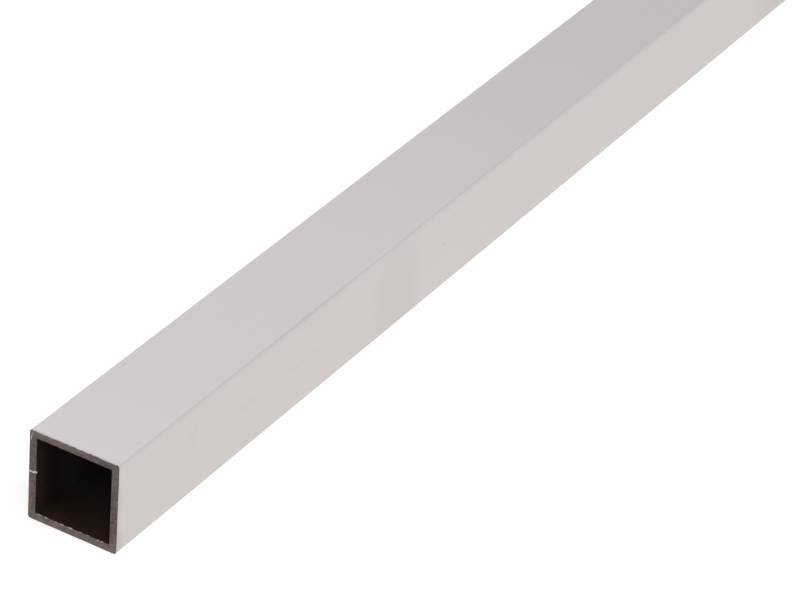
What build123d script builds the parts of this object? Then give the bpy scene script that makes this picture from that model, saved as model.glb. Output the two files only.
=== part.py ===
"""Square metal tube: one straight length of extruded aluminium hollow section, sawn square at both ends.

The tube lies on one of its four flat sides. X runs along it, Y across it and Z up, and the origin is on
the underside, midway between the ends. All sizes are in millimetres.
"""

import os

from build123d import *

# Section
side = 25.0  # outside width and height across the flats
wall = 2.0  # wall thickness, the same on all four sides
arris_radius = 0.8  # outside edges, as the die leaves them
bore_radius = 0.4  # inside corners of the bore

# Stock length
length = 1000.0  # from one sawn end to the other

bore = side - 2 * wall
axis_height = side / 2
section_plane = Plane.YZ.offset(-length / 2)


def extruded_tube():
    """The hollow section, drawn across the sawn end at low X and extruded to the other end."""
    with BuildPart() as square_tube:
        with BuildSketch(section_plane):
            with Locations((0, axis_height)):
                RectangleRounded(side, side, arris_radius)
                RectangleRounded(bore, bore, bore_radius, mode=Mode.SUBTRACT)
        extrude(amount=length)
    square_tube.part.label = "square_tube"
    return square_tube.part


os.makedirs("parts", exist_ok=True)
export_step(extruded_tube(), "parts/square_tube.step")
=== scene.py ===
"""Looks of the square metal tube: a straight length of satin aluminium hollow section, sawn at both ends.

Lengths are in metres. X runs along the tube, Y across it and Z up, with the origin on the underside,
midway between the ends. The near end, which the photograph shows, is the one at low X.
"""

import math

import bmesh
import bpy
from mathutils import Matrix, Vector, noise


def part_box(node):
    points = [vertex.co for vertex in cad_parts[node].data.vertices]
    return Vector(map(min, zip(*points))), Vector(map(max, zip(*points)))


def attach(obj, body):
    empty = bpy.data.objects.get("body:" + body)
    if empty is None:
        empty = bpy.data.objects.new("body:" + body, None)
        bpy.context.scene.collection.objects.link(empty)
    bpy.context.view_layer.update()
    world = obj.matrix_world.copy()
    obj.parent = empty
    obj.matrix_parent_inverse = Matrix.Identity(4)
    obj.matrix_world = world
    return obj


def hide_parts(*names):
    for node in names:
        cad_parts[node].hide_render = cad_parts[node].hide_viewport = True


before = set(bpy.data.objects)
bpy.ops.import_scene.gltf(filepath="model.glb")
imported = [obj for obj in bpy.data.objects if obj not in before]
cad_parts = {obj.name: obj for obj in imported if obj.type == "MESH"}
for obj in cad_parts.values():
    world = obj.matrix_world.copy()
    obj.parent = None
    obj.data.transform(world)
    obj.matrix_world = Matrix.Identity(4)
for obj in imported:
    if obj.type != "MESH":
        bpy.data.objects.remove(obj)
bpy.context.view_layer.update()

MM = 0.001
low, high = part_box("square_tube")

# Section
side = high.z - low.z
wall = 2.0 * MM
bore = side - 2 * wall
arris_radius = 0.8 * MM
bore_radius = 0.4 * MM
axis_height = (low.z + high.z) / 2

# How finely each loop round the section is divided, and how far apart the loops are along the tube
arc_steps = 8
flat_cuts = 127
loop_spacing = 50 * MM
end_guard = 0.6 * MM  # the outermost of the plain loops stand this far in from the ends
crease_angle = math.radians(35)  # edges that turn by more are shaded as creases

# Sawn ends
cut_depth = 0.05 * MM  # the sawn faces lie this far inside the box, and their slivers reach out to it
rim_break = 0.02 * MM  # broken edge between a side and the sawn face
mouth_break = 0.03 * MM  # and between the sawn face and the bore
row_insets = (rim_break, 0.3 * MM, 0.6 * MM, 0.9 * MM, 1.2 * MM, 1.5 * MM, 1.8 * MM, wall - mouth_break)
tear_length = 1.2 * MM  # of the small tears that the blade leaves along a rim
tear_depth = 0.10 * MM
ripple_length = 2.5 * MM
ripple_height = 0.012 * MM

# The blade rolled the top edge of the near end over, all but for a few teeth of burr
rolled_rim = 0.22 * MM
rolled_back = 0.7  # how far the rim moves back along the tube, as a share of how far the sawn edge drops
rolled_unevenness = 0.4
rolled_facing = 0.3  # faces of the rolled edge point up by more than this, and keep the finish of the side
top_edge_band = 1.5 * rim_break  # takes in the rim and the sawn row next to it, and nothing lower

# Teeth of burr along the rolled edge: place across the tube and width in mm, and share of the full height
teeth = (
    (11.00, 0.35, 1.0),
    (4.30, 1.20, 0.5),
    (2.05, 0.35, 1.0),
    (0.20, 0.45, 0.9),
    (-2.40, 0.50, 0.6),
    (-4.60, 0.35, 1.0),
    (-6.20, 1.00, 0.7),
)

# Slivers of torn metal on the sawn faces: from (across, up) to (across, up) and thickness, in mm
near_slivers = (
    # Across the left wall
    ((12.46, 13.26), (11.70, 13.24), 0.50),
    ((11.85, 13.12), (10.12, 13.56), 0.56),
    # In the upper left corner
    ((11.72, 24.35), (12.24, 21.60), 0.20),
    # Along the lower edge of the bore
    ((10.00, 2.02), (8.30, 2.02), 0.13),
    ((7.90, 1.98), (6.75, 1.96), 0.22),
    ((4.90, 1.98), (4.10, 1.98), 0.15),
    ((3.50, 1.90), (2.00, 1.90), 0.24),
    ((1.20, 1.92), (-0.15, 1.96), 0.30),
    ((-1.90, 2.00), (-3.00, 2.00), 0.13),
    ((-4.00, 2.00), (-5.00, 2.00), 0.13),
    ((-6.90, 1.90), (-7.75, 1.94), 0.24),
    ((-8.00, 1.95), (-8.80, 1.98), 0.20),
    # At the outer edge of the right wall
    ((-12.20, 15.00), (-12.30, 14.45), 0.26),
)
far_slivers = (
    ((9.40, 1.95), (7.90, 1.92), 0.26),
    ((-3.10, 1.90), (-4.60, 1.94), 0.34),
    ((-11.90, 9.20), (-10.60, 9.50), 0.30),
)
sliver_depth = 0.20 * MM  # from its crest at the box to its sunken side
sliver_steps_round = 12
sliver_steps_along = 24
raggedness = 0.25 * MM  # length of the ragged bends of a sliver
ragged_share = 0.3  # how far they reach, as a share of its thickness
ragged_seed = 8
noise.seed_set(ragged_seed)  # without it the slivers would be torn differently in each run

SATIN, SAWN, DARK, FRESH = range(4)  # material slots of the tube's mesh


def rounded_square(bm, x, across, radius):
    """A closed loop of edges round the tube's axis: a square with rounded corners and finely cut flats."""
    before = set(bm.edges)
    facing_x = Matrix.Translation((x, 0, axis_height)) @ Matrix.Rotation(math.pi / 2, 4, "Y")
    corners = bmesh.ops.create_grid(
        bm, x_segments=1, y_segments=1, size=across / 2, matrix=facing_x,
    )["verts"]
    bmesh.ops.bevel(
        bm, geom=corners, offset=radius, offset_type="OFFSET", affect="VERTICES",
        segments=arc_steps, profile=0.5, material=-1,
    )
    outline = [e for e in bm.edges if e not in before]
    bmesh.ops.delete(bm, geom=list(outline[0].link_faces), context="FACES_ONLY")
    flats = [e for e in outline if e.calc_length() > across / 2]
    bmesh.ops.subdivide_edges(bm, edges=flats, cuts=flat_cuts)
    return [e for e in bm.edges if e not in before]


def points_of(loop):
    """The points of a loop, each once."""
    return {v for e in loop for v in e.verts}


def into_tube(end):
    """Which way along X leads from this end into the tube: 1 or -1."""
    return math.copysign(1, -end)


def sawn_end(bm, end):
    """The loops over one sawn end, from the side skin to the bore.

    The rows of the sawn face stand up as a low pyramid, so that bridge_loops can tell which way round each
    one goes. press_flat brings them down to the cut once they are joined.
    """
    inward = into_tube(end)
    cut = end + inward * cut_depth
    loops = [rounded_square(bm, cut + inward * rim_break, side, arris_radius)]
    for inset in row_insets:
        radius = arris_radius + (bore_radius - arris_radius) * inset / wall
        loops.append(rounded_square(bm, cut - inward * inset, side - 2 * inset, radius))
    loops.append(rounded_square(bm, cut - inward * wall, bore, bore_radius))
    return loops


def run_between(bm, start, finish, across, radius):
    """Evenly spaced loops strictly between two places along the tube."""
    steps = max(1, round(abs(finish - start) / loop_spacing))
    places = [start + (finish - start) * i / steps for i in range(1, steps)]
    return [rounded_square(bm, x, across, radius) for x in places]


def join_loops(bm, near_loops, far_loops):
    """One skin of the loops of both ends and the plain ones between them, outside and along the bore."""
    start = low.x + end_guard
    finish = high.x - end_guard
    outside = [rounded_square(bm, finish, side, arris_radius)]
    outside += run_between(bm, finish, start, side, arris_radius)
    outside += [rounded_square(bm, start, side, arris_radius)]
    inside = [rounded_square(bm, start, bore, bore_radius)]
    inside += run_between(bm, start, finish, bore, bore_radius)
    inside += [rounded_square(bm, finish, bore, bore_radius)]
    ring = outside + near_loops + inside + far_loops[::-1] + outside[:1]
    sawn = [SAWN] * (len(near_loops) - 1)
    finishes = [SATIN] * len(outside) + sawn + [DARK] * (len(inside) + 1) + sawn + [SATIN]
    for first, second, finish_slot in zip(ring, ring[1:], finishes):
        for face in bmesh.ops.bridge_loops(bm, edges=first + second)["faces"]:
            face.material_index = finish_slot


def press_flat(loops, end):
    """Brings the joined rows of a sawn end down to the cut, rippled by the blade and with a torn rim."""
    inward = into_tube(end)
    cut = end + inward * cut_depth
    for v in points_of(sum(loops[1:-1], [])):
        v.co.x = cut
        v.co.x += ripple_height * noise.noise(v.co / ripple_length)
    for v in points_of(loops[-1]):
        v.co.x = cut + inward * mouth_break
    for v in points_of(loops[0]):
        v.co.x += inward * tear_depth * max(0, noise.noise(v.co / tear_length)) ** 2


def burr_left(across):
    """How much of the rolled edge still stands here as a tooth of burr, from 0 to 1."""
    return max(
        share * math.exp(-(((across - place * MM) / (width * MM)) ** 2)) for place, width, share in teeth
    )


def roll_top_rim(rim, row):
    """Slants the top edge of the near end between its rim and the sawn row next to it."""
    for v in points_of(rim + row):
        if v.co.z > high.z - top_edge_band and abs(v.co.y) < side / 2 - arris_radius:
            uneven = 1 + rolled_unevenness * noise.noise(Vector((0, v.co.y, 0)) / tear_length)
            rolled = (rolled_rim - rim_break) * (1 - burr_left(v.co.y)) * uneven
            if v.co.z < high.z - rim_break / 2:
                v.co.z -= rolled
            else:
                v.co.x += rolled_back * rolled


def sliver(bm, tube_end, start, finish, thick):
    """A torn sliver of metal on a sawn face, sunk in it and with its crest at the end of the box."""
    middle = tube_end - math.copysign(sliver_depth / 2, tube_end)
    start = Vector((middle, start[0] * MM, start[1] * MM))
    finish = Vector((middle, finish[0] * MM, finish[1] * MM))
    along = finish - start
    size = (sliver_depth / 2, thick / 2 * MM, along.length / 2)
    place = Matrix.LocRotScale((start + finish) / 2, along.to_track_quat("Z", "Y"), size)
    made = bmesh.ops.create_uvsphere(
        bm, u_segments=sliver_steps_round, v_segments=sliver_steps_along, radius=1, matrix=place,
    )["verts"]
    for v in made:
        v.co.yz += noise.noise_vector(v.co / raggedness).yz * thick * MM * ragged_share
    for face in {f for v in made for f in v.link_faces}:
        face.material_index = FRESH


def tube_skin():
    """The whole tube as one closed skin, with the slivers of torn metal sunk in its sawn faces."""
    bm = bmesh.new()
    near_loops = sawn_end(bm, low.x)
    far_loops = sawn_end(bm, high.x)
    join_loops(bm, near_loops, far_loops)
    press_flat(near_loops, low.x)
    press_flat(far_loops, high.x)
    roll_top_rim(near_loops[0], near_loops[1])
    bm.normal_update()
    for face in bm.faces:
        on_top_edge = face.calc_center_median().z > high.z - rolled_rim
        if face.material_index == SAWN and face.normal.z > rolled_facing and on_top_edge:
            face.material_index = SATIN
    for start, finish, thick in near_slivers:
        sliver(bm, low.x, start, finish, thick)
    for start, finish, thick in far_slivers:
        sliver(bm, high.x, start, finish, thick)
    bmesh.ops.recalc_face_normals(bm, faces=bm.faces)
    for face in bm.faces:
        face.smooth = True
    for edge in bm.edges:
        edge.smooth = edge.calc_face_angle(0) < crease_angle
    mesh = bpy.data.meshes.new("square_tube_skin")
    bm.to_mesh(mesh)
    bm.free()
    return mesh


def add_node(tree, kind, inputs=None, **settings):
    """A node of this kind. Each of its inputs is linked to a socket or given a value."""
    made = tree.nodes.new(kind)
    for name, value in settings.items():
        setattr(made, name, value)
    for name, value in (inputs or {}).items():
        if isinstance(value, bpy.types.NodeSocket):
            tree.links.new(value, made.inputs[name])
        else:
            made.inputs[name].default_value = value
    return made


MIX_FACTOR, MIX_A, MIX_B, MIX_RESULT = 0, 6, 7, 2  # a colour Mix node's sockets


def blend_colours(tree, factor, first, second):
    """The socket of a colour mix from first to second."""
    inputs = {MIX_FACTOR: factor, MIX_A: first, MIX_B: second}
    return add_node(tree, "ShaderNodeMix", inputs, data_type="RGBA").outputs[MIX_RESULT]


def arithmetic(tree, operation, *values):
    """The socket of a Math node on these values."""
    return add_node(tree, "ShaderNodeMath", dict(enumerate(values)), operation=operation).outputs[0]


def vector_arithmetic(tree, operation, *vectors):
    """The sockets of a Vector Math node on these vectors."""
    return add_node(tree, "ShaderNodeVectorMath", dict(enumerate(vectors)), operation=operation).outputs


def new_group(name, inputs, outputs):
    """An empty shader node group with these sockets, and its input and output nodes."""
    group = bpy.data.node_groups.new(name, "ShaderNodeTree")
    for label, kind in inputs.items():
        group.interface.new_socket(label, in_out="INPUT", socket_type=kind)
    for label, kind in outputs.items():
        group.interface.new_socket(label, in_out="OUTPUT", socket_type=kind)
    return group, group.nodes.new("NodeGroupInput"), group.nodes.new("NodeGroupOutput")


def group_outputs(tree, group, inputs):
    """The sockets that the group puts out in this tree."""
    return add_node(tree, "ShaderNodeGroup", inputs, node_tree=group).outputs


noise_low = 0.3  # a noise texture stays mostly between these, which are spread to 0 and 1
noise_high = 0.7


def spread_noise(tree, inputs):
    """The socket of a noise texture with its usual range spread over a whole mask."""
    texture = add_node(tree, "ShaderNodeTexNoise", inputs)
    limits = {"Value": texture.outputs["Fac"], "From Min": noise_low, "From Max": noise_high}
    return add_node(tree, "ShaderNodeMapRange", limits).outputs["Result"]


def fine_lines_group():
    """Fine uneven lines, drawn by the die or cut by the saw: a mask from 0 to 1, which is also their height.

    Fineness is how many marks there are in a metre along each axis, so the lines run along the axis where it
    is low.
    """
    group, given, put_out = new_group(
        "fine_lines",
        {"Vector": "NodeSocketVector", "Fineness": "NodeSocketVector"},
        {"Mask": "NodeSocketFloat"},
    )
    stretched = vector_arithmetic(group, "MULTIPLY", given.outputs["Vector"], given.outputs["Fineness"])[0]
    lines = spread_noise(group, {"Vector": stretched, "Scale": 1.0, "Detail": 3.0})
    group.links.new(lines, put_out.inputs["Mask"])
    return group


def mottle_group():
    """Soft uneven patches: a mask from 0 to 1."""
    group, given, put_out = new_group(
        "mottle",
        {"Vector": "NodeSocketVector", "Scale": "NodeSocketFloat"},
        {"Mask": "NodeSocketFloat"},
    )
    patches = spread_noise(
        group,
        {
            "Vector": given.outputs["Vector"],
            "Scale": given.outputs["Scale"],
            "Detail": 4.0,
            "Roughness": 0.6,
        },
    )
    group.links.new(patches, put_out.inputs["Mask"])
    return group


mark_core = 0.25  # a mark is at its full strength over this share of its reach


def soft_mark_group(name, at_both_ends):
    """One soft mark: a mask that is Strength at its centre and fades to 0 at its reach along each axis.

    At both ends means that the coordinates are folded over the middle of the tube, so that the far end is
    marked as the near one is.
    """
    group, given, put_out = new_group(
        name,
        {
            "Vector": "NodeSocketVector", "Centre": "NodeSocketVector", "Reach": "NodeSocketVector",
            "Strength": "NodeSocketFloat",
        },
        {"Mask": "NodeSocketFloat"},
    )
    place = given.outputs["Vector"]
    if at_both_ends:
        parts = add_node(group, "ShaderNodeSeparateXYZ", {0: place}).outputs
        near_x = arithmetic(group, "MULTIPLY", arithmetic(group, "ABSOLUTE", parts["X"]), -1.0)
        folded = {"X": near_x, "Y": parts["Y"], "Z": parts["Z"]}
        place = add_node(group, "ShaderNodeCombineXYZ", folded).outputs[0]
    offset = vector_arithmetic(group, "SUBTRACT", place, given.outputs["Centre"])[0]
    scaled = vector_arithmetic(group, "DIVIDE", offset, given.outputs["Reach"])[0]
    distance = vector_arithmetic(group, "LENGTH", scaled)["Value"]
    fade = add_node(
        group, "ShaderNodeMapRange",
        {"Value": distance, "From Min": 1.0, "From Max": mark_core, "To Max": given.outputs["Strength"]},
        interpolation_type="SMOOTHSTEP",
    )
    group.links.new(fade.outputs["Result"], put_out.inputs["Mask"])
    return group


fine_lines = fine_lines_group()
mottle = mottle_group()
soft_mark = soft_mark_group("soft_mark", at_both_ends=False)
soft_mark_both_ends = soft_mark_group("soft_mark_both_ends", at_both_ends=True)


# Marks are given as centre and reach in mm, and strength. A positive strength darkens, a negative lightens.
handling_marks_and_painted_light = (
    # Right side, where the picture cuts it off: painted shade, darker there and broadly darker towards the
    # far end
    ((-153, -12.5, 5.0), (30, 3, 13), 0.09),
    ((-150, -12.5, 12.5), (230, 3, 60), 0.032),
    # Right side, against the sawn edge
    ((-500, -12.5, 3.0), (4, 2, 5), 0.16),
    ((-500, -12.5, 14.0), (3, 2, 14), 0.09),
    # Right side: an upright smear, two long ones and two specks
    ((-469, -12.5, 17.0), (2.4, 2, 5.5), 0.035),
    ((-443, -12.5, 12.9), (20, 2, 1.6), 0.025),
    ((-421, -12.5, 12.2), (16, 2, 1.3), 0.025),
    ((-354, -12.5, 13.2), (1.4, 1, 1.0), 0.10),
    ((-350, -12.5, 19.7), (2.0, 1, 1.6), 0.03),
    # Along the middle arris, painted shade and a painted highlight, and a painted highlight along the left
    # one
    ((-421, -12.3, 24.8), (24, 1.2, 1.2), 0.05),
    ((-490, -12.0, 25.0), (250, 0.6, 0.6), -0.06),
    ((-330, 11.5, 25.0), (130, 1.2, 1.0), -0.03),
    # Top side: painted light, brighter towards the near end, and three specks
    ((-505, 0, 25), (45, 40, 3), -0.025),
    ((-466, 4.4, 25), (1.0, 0.7, 1), -0.04),
    ((-490, -10.75, 25), (1.2, 0.7, 1), 0.12),
    ((-465, 10.6, 25), (1.2, 0.7, 1), 0.18),
)
bands_and_painted_arris_shade = (
    # Broad soft bands on the right side and on the top side
    ((-377, -12.5, 11.0), (17, 3, 24), 0.065),
    ((-430, 0, 25), (75, 40, 3), 0.010),
    # Along the middle arris: painted shade over its whole length, with two stretches of painted light beside
    # it
    ((-384, -12.2, 24.8), (14, 1.1, 1.1), -0.06),
    ((-200, -12.5, 24.2), (3000, 1.2, 1.25), 0.05),
    ((-150, -12.5, 24.0), (230, 0.8, 1.4), 0.03),
    ((-200, -12.1, 25.0), (150, 0.9, 0.7), -0.07),
)
sawn_marks_and_painted_light = (
    # Broad ones: the lower wall, which is painted lighter against the shade it reflects from the floor, the
    # top wall's left half, three places on the right wall, and the left wall
    ((-500, 0, 0), (2, 40, 4.0), -0.15),
    ((-500, 8, 25), (2, 9, 2.5), -0.11),
    ((-500, -10.9, 19.5), (2, 1.5, 3.0), -0.06),
    ((-500, -11.6, 1.2), (2, 1.6, 3.5), -0.11),
    ((-500, -12.0, 24.0), (2, 1.5, 2.0), -0.06),
    ((-500, 11.2, 18.0), (2, 1.8, 7.0), 0.09),
    # Thin burr along the lower edge of the bore: lighter metal with a painted glint
    ((-500, 0, 1.95), (2, 15, 0.45), -0.10),
    # Along the lower wall
    ((-500, 1.5, 0.3), (2, 20, 1.4), -0.04),
    ((-500, 9.6, 0.7), (2, 1.5, 1.1), -0.14),
    ((-500, 7.3, 1.3), (2, 1.3, 1.0), 0.14),
    ((-500, 4.8, 0.7), (2, 1.7, 1.1), -0.12),
    ((-500, 2.4, 1.3), (2, 1.1, 1.0), 0.20),
    ((-500, 1.2, 0.8), (2, 0.8, 1.0), -0.12),
    ((-500, -0.4, 1.4), (2, 0.8, 0.8), 0.20),
    ((-500, -4.0, 0.7), (2, 1.2, 0.9), -0.08),
    ((-500, -5.2, 1.4), (2, 0.9, 0.8), 0.24),
    ((-500, -1.3, 1.0), (2, 0.8, 1.2), -0.08),
    ((-500, -2.9, 1.0), (2, 0.9, 1.2), 0.10),
    ((-500, -8.8, 0.9), (2, 3.0, 1.2), -0.05),
    # Along the top wall
    ((-500, -1.0, 24.6), (2, 9.0, 1.0), -0.05),
    ((-500, 2.4, 24.4), (2, 1.2, 1.0), -0.14),
    ((-500, -1.6, 24.4), (2, 1.2, 0.9), -0.08),
    ((-500, 11.4, 24.5), (2, 1.3, 1.2), -0.10),
    ((-500, -2.4, 23.5), (2, 1.3, 0.8), 0.18),
    ((-500, -9.3, 23.5), (2, 2.3, 0.9), 0.20),
    # Up the left wall
    ((-500, 12.2, 6.5), (2, 0.9, 6.5), -0.09),
    ((-500, 12.0, 14.5), (2, 0.8, 0.9), -0.12),
    ((-500, 11.0, 6.0), (2, 0.7, 7.0), 0.06),
    # Up the right wall
    ((-500, -11.0, 10.0), (2, 0.8, 9.5), 0.14),
    ((-500, -11.9, 15.8), (2, 0.8, 1.3), 0.24),
    ((-500, -11.9, 12.2), (2, 0.7, 0.9), 0.14),
    ((-500, -11.9, 3.8), (2, 0.8, 1.5), -0.10),
)
mouth_painted_light_and_shade = (
    # Painted shade, darker on the bore's left wall and at its foot
    ((-492, 10.5, 16), (7, 3, 26), 0.50),
    ((-488, 9, 2), (8, 5, 3), 0.20),
    # Painted light over the right half of its floor
    ((-488, -5, 2), (12, 11, 4), -0.12),
    ((-494, -7.5, 2), (8, 5, 3), -0.07),
    ((-499, -9.5, 2), (3, 2, 2), -0.10),
    # Painted shade in its lower left corner
    ((-480, 10.3, 2.2), (22, 0.7, 0.7), 0.30),
)
bore_corner_painted_shade = (
    # Painted shade along the same corner, also beyond the painted brown shade of the mouth
    ((-483, 10.3, 2.2), (50, 0.7, 0.7), 0.20),
)


def marked(tree, tone, mark_group, place, marks, darker, lighter):
    """The tone with these marks on it."""
    for centre, reach, strength in marks:
        inputs = {
            "Vector": place,
            "Centre": Vector(centre) * MM,
            "Reach": Vector(reach) * MM,
            "Strength": abs(strength),
        }
        mask = group_outputs(tree, mark_group, inputs)["Mask"]
        tone = blend_colours(tree, mask, tone, darker if strength > 0 else lighter)
    return tone


def new_material(name, colour, metallic, roughness):
    """A material with its Principled shader set, the tree and the object's coordinates."""
    material = bpy.data.materials.new(name)
    material.use_nodes = True
    tree = material.node_tree
    shader = tree.nodes["Principled BSDF"]
    shader.inputs["Base Color"].default_value = (*colour, 1)
    shader.inputs["Metallic"].default_value = metallic
    shader.inputs["Roughness"].default_value = roughness
    coordinates = tree.nodes.new("ShaderNodeTexCoord").outputs["Object"]
    return material, tree, shader, coordinates


def bump(tree, shader, height, distance):
    """Raises the surface by this height, up to the distance given."""
    raised = add_node(tree, "ShaderNodeBump", {"Height": height, "Distance": distance, "Strength": 1.0})
    tree.links.new(raised.outputs["Normal"], shader.inputs["Normal"])


die_line_height = 0.002 * MM
satin_patch_strength = 0.25


def satin_aluminium():
    """The four sides: fine satin, with faint die lines, soft marks of handling, and painted light and shade
    along the arrises and over the top and right sides.
    """
    hollow, crest = (0.627, 0.592, 0.572, 1), (0.643, 0.608, 0.588, 1)
    dull_patch = (0.62, 0.583, 0.56, 1)
    # Darker marks give dirt and painted shade, lighter ones wear and painted light
    warm_dirt_and_shade, cool_shade = (0.20, 0.16, 0.14, 1), (0.10, 0.18, 0.18, 1)
    rubbed_and_painted_light = (0.95, 0.95, 0.95, 1)
    material, tree, shader, place = new_material(
        "satin_aluminium", (0.635, 0.60, 0.58), metallic=1.0, roughness=0.35
    )
    lines = group_outputs(tree, fine_lines, {"Vector": place, "Fineness": (6, 1400, 1400)})["Mask"]
    tone = blend_colours(tree, lines, hollow, crest)
    patches = group_outputs(tree, mottle, {"Vector": place, "Scale": 30.0})["Mask"]
    tone = blend_colours(tree, arithmetic(tree, "MULTIPLY", patches, satin_patch_strength), tone, dull_patch)
    tone = marked(tree, tone, soft_mark, place, handling_marks_and_painted_light, warm_dirt_and_shade, rubbed_and_painted_light)
    tone = marked(tree, tone, soft_mark, place, bands_and_painted_arris_shade, cool_shade, rubbed_and_painted_light)
    tree.links.new(tone, shader.inputs["Base Color"])
    polish = add_node(tree, "ShaderNodeMapRange", {"Value": lines, "To Min": 0.32, "To Max": 0.38})
    tree.links.new(polish.outputs["Result"], shader.inputs["Roughness"])
    bump(tree, shader, lines, die_line_height)
    return material


saw_slant = math.radians(31)  # of the blade's marks on a sawn face
saw_mark_height = 0.02 * MM
fine_score_share = 0.4  # of the blade's finer scores among its marks
sawn_patch_share = 0.5  # of soft patches in the tone


def sawn_metal():
    """The sawn faces: duller, and darker partly with painted shade, with the blade's slanting marks."""
    # Darker than the sides partly as duller sawn metal and partly as painted shade
    deep, bright = (0.052, 0.039, 0.034, 1), (0.222, 0.175, 0.164, 1)
    # Light marks give wear, and painted light on the lower wall and along the bore's lower edge
    stained, rubbed_and_painted_light = (0.02, 0.02, 0.02, 1), (0.42, 0.34, 0.32, 1)
    material, tree, shader, place = new_material(
        "sawn_metal", (0.135, 0.115, 0.108), metallic=1.0, roughness=0.5
    )
    slanted = add_node(
        tree, "ShaderNodeVectorRotate", {"Vector": place, "Angle": saw_slant}, rotation_type="X_AXIS"
    ).outputs[0]
    coarse = group_outputs(tree, fine_lines, {"Vector": slanted, "Fineness": (300, 450, 1500)})["Mask"]
    scores = group_outputs(tree, fine_lines, {"Vector": slanted, "Fineness": (300, 400, 6500)})["Mask"]
    patches = group_outputs(tree, mottle, {"Vector": place, "Scale": 900.0})["Mask"]
    cuts = blend_colours(tree, fine_score_share, coarse, scores)
    uneven = blend_colours(tree, sawn_patch_share, cuts, patches)
    tone = blend_colours(tree, uneven, deep, bright)
    tone = marked(tree, tone, soft_mark_both_ends, place, sawn_marks_and_painted_light, stained, rubbed_and_painted_light)
    tree.links.new(tone, shader.inputs["Base Color"])
    bump(tree, shader, cuts, saw_mark_height)
    return material


mouth_shade_clears_from = 8 * MM  # the painted brown shade in each mouth begins to give way this far in, and has gone at its end
mouth_shade_cleared_at = 24 * MM


def dark_bore():
    """The bore: bare from the die, painted dark, with a painted brown shade inside each mouth that gives way
    to a paler painted grey.
    """
    # Painted shade: all these tones are far darker than the bore's bare metal
    darker_mouth_shade, paler_mouth_shade = (0.044, 0.024, 0.0165, 1), (0.056, 0.032, 0.022, 1)
    deep_painted_grey = (0.125, 0.108, 0.104, 1)
    shade, painted_light_brown = (0.005, 0.008, 0.012, 1), (0.30, 0.16, 0.11, 1)
    material, tree, shader, place = new_material(
        "dark_bore", (0.05, 0.03, 0.022), metallic=0.6, roughness=0.6
    )
    lines = group_outputs(tree, fine_lines, {"Vector": place, "Fineness": (10, 900, 900)})["Mask"]
    painted_mouth_shade = blend_colours(tree, lines, darker_mouth_shade, paler_mouth_shade)
    painted_mouth_shade = marked(tree, painted_mouth_shade, soft_mark_both_ends, place, mouth_painted_light_and_shade, shade, painted_light_brown)
    along = add_node(tree, "ShaderNodeSeparateXYZ", {0: place}).outputs["X"]
    from_middle = arithmetic(tree, "ABSOLUTE", along)
    deepening = {"Value": from_middle, "From Min": high.x - mouth_shade_clears_from, "From Max": high.x - mouth_shade_cleared_at}
    deeper_in = add_node(tree, "ShaderNodeMapRange", deepening).outputs["Result"]
    tone = blend_colours(tree, deeper_in, painted_mouth_shade, deep_painted_grey)
    tone = marked(tree, tone, soft_mark_both_ends, place, bore_corner_painted_shade, shade, painted_light_brown)
    tree.links.new(tone, shader.inputs["Base Color"])
    return material


def fresh_metal():
    """Torn slivers of bright metal on a sawn face."""
    dull, bright = (0.47, 0.44, 0.43, 1), (0.68, 0.66, 0.65, 1)
    material, tree, shader, place = new_material(
        "fresh_metal", (0.66, 0.63, 0.62), metallic=1.0, roughness=0.3
    )
    patches = group_outputs(tree, mottle, {"Vector": place, "Scale": 2500.0})["Mask"]
    tree.links.new(blend_colours(tree, patches, dull, bright), shader.inputs["Base Color"])
    return material


def dressed_tube():
    """The tube as it is seen, in place of its plain CAD node."""
    tube = bpy.data.objects.new("sawn_square_tube", tube_skin())
    bpy.context.scene.collection.objects.link(tube)
    for material in (satin_aluminium(), sawn_metal(), dark_bore(), fresh_metal()):
        tube.data.materials.append(material)
    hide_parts("square_tube")
    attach(tube, "root")


# Studio
floor_reach = 15.0
floor_drop = 0.05 * MM  # below the tube's underside, so that the two don't share a plane
floor_colour = (0.88, 0.88, 0.88, 1)
glow_to_camera = 0.45  # of the floor, so that where it is lit it is white
glow_in_reflections = 0.255
sky_to_camera = (1, 1, 1, 1)
sky_on_matt = (0.45, 0.45, 0.45, 1)
sky_at_horizon = (0.98, 0.98, 0.995, 1)
sky_overhead = (0.59, 0.585, 0.605, 1)
key_strength = 1.6
key_angle = math.radians(60)
key_from = Vector((-0.25, -0.55, 0.80))
softbox_place = (-0.25, 0.28, 0.35)  # close above the near end of the tube
softbox_size = (0.74, 1.32)
softbox_radiance = 0.32
softbox_colour = (0.96, 0.94, 1.0)


def light_path(tree):
    """The Light Path node's sockets, and the socket of a mask for rays in reflections or through glass."""
    path = tree.nodes.new("ShaderNodeLightPath").outputs
    return path, arithmetic(tree, "MAXIMUM", path["Is Glossy Ray"], path["Is Transmission Ray"])


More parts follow.
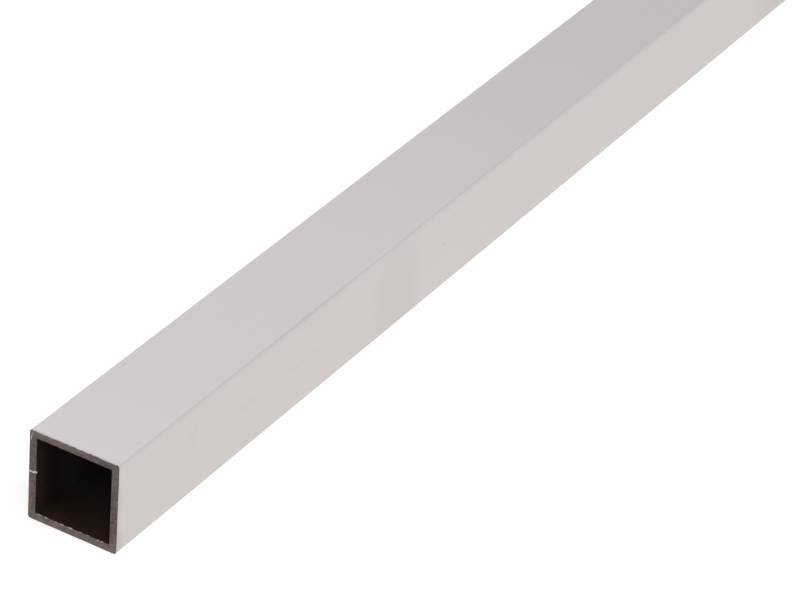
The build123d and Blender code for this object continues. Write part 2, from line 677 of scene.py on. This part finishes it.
def studio_floor():
    """A plain white floor that reaches past every view and keeps the tube's shadow."""
    bm = bmesh.new()
    under_tube = Matrix.Translation((0, 0, low.z - floor_drop))
    bmesh.ops.create_grid(bm, x_segments=1, y_segments=1, size=floor_reach, matrix=under_tube)
    mesh = bpy.data.meshes.new("studio_floor")
    bm.to_mesh(mesh)
    bm.free()
    material = bpy.data.materials.new("white_floor")
    material.use_nodes = True
    tree = material.node_tree
    tree.nodes.remove(tree.nodes["Principled BSDF"])
    matt = add_node(tree, "ShaderNodeBsdfDiffuse", {"Color": floor_colour})
    path, reflected = light_path(tree)
    to_camera = arithmetic(tree, "MULTIPLY", path["Is Camera Ray"], glow_to_camera)
    in_reflections = arithmetic(tree, "MULTIPLY", reflected, glow_in_reflections)
    strength = arithmetic(tree, "ADD", to_camera, in_reflections)
    glow = add_node(tree, "ShaderNodeEmission", {"Strength": strength})
    both = add_node(tree, "ShaderNodeAddShader", {0: matt.outputs[0], 1: glow.outputs[0]})
    tree.links.new(both.outputs[0], tree.nodes["Material Output"].inputs["Surface"])
    mesh.materials.append(material)
    floor = bpy.data.objects.new("studio_floor", mesh)
    bpy.context.scene.collection.objects.link(floor)


def studio_world():
    """White to the camera and plain grey to matt surfaces.

    Reflections see a room that is pale at the horizon and dimmer overhead.
    """
    world = bpy.data.worlds.new("studio")
    bpy.context.scene.world = world
    world.use_nodes = True
    tree = world.node_tree
    direction = tree.nodes.new("ShaderNodeTexCoord").outputs["Generated"]
    height = add_node(tree, "ShaderNodeSeparateXYZ", {0: direction}).outputs["Z"]
    room = add_node(tree, "ShaderNodeValToRGB", {"Fac": height})
    room.color_ramp.elements[0].color = sky_at_horizon
    room.color_ramp.elements[1].color = sky_overhead
    path, reflected = light_path(tree)
    seen = blend_colours(tree, reflected, sky_on_matt, room.outputs["Color"])
    colour = blend_colours(tree, path["Is Camera Ray"], seen, sky_to_camera)
    tree.links.new(colour, tree.nodes["Background"].inputs["Color"])


def key_lamp():
    """One broad lamp from high behind the camera, which lights the floor and leaves a soft shadow."""
    lamp = bpy.data.lights.new("key_lamp", "SUN")
    lamp.energy = key_strength
    lamp.angle = key_angle
    holder = bpy.data.objects.new("key_lamp", lamp)
    holder.rotation_mode = "QUATERNION"
    holder.rotation_quaternion = key_from.to_track_quat("Z", "Y")
    holder.visible_glossy = False
    bpy.context.scene.collection.objects.link(holder)


def softbox():
    """The level softbox that the top of the tube reflects."""
    lamp = bpy.data.lights.new("softbox", "AREA")
    lamp.shape = "RECTANGLE"
    lamp.size, lamp.size_y = softbox_size
    lamp.energy = softbox_radiance * math.pi * softbox_size[0] * softbox_size[1]
    lamp.color = softbox_colour
    holder = bpy.data.objects.new("softbox", lamp)
    holder.location = softbox_place
    holder.visible_camera = False
    holder.visible_diffuse = False
    bpy.context.scene.collection.objects.link(holder)


# Camera, fitted to the straight edges of the tube in the photograph
camera_place = Vector((-1.108854, -0.416084, 0.534754))
camera_heading = math.radians(-61.1891)  # turned about Z from looking along +Y
camera_below_level = math.radians(32.176)
camera_roll = math.radians(4.8022)
focal_length = 176.0226  # this and the sensor's width are in millimetres
sensor_width = 36.0


def photo_camera():
    """The camera that took the photograph, as its picture shows it."""
    camera = bpy.data.cameras.new("photo_camera")
    camera.lens = focal_length
    camera.sensor_width = sensor_width
    holder = bpy.data.objects.new("photo_camera", camera)
    heading = Matrix.Rotation(camera_heading, 4, "Z")
    tilt = Matrix.Rotation(math.pi / 2 - camera_below_level, 4, "X")
    roll = Matrix.Rotation(camera_roll, 4, "Z")
    holder.matrix_world = Matrix.Translation(camera_place) @ (heading @ tilt) @ roll
    bpy.context.scene.collection.objects.link(holder)
    bpy.context.scene.camera = holder


dressed_tube()
studio_floor()
studio_world()
key_lamp()
softbox()
photo_camera()
bpy.context.scene.view_settings.view_transform = "Standard"

bpy.context.view_layer.update()
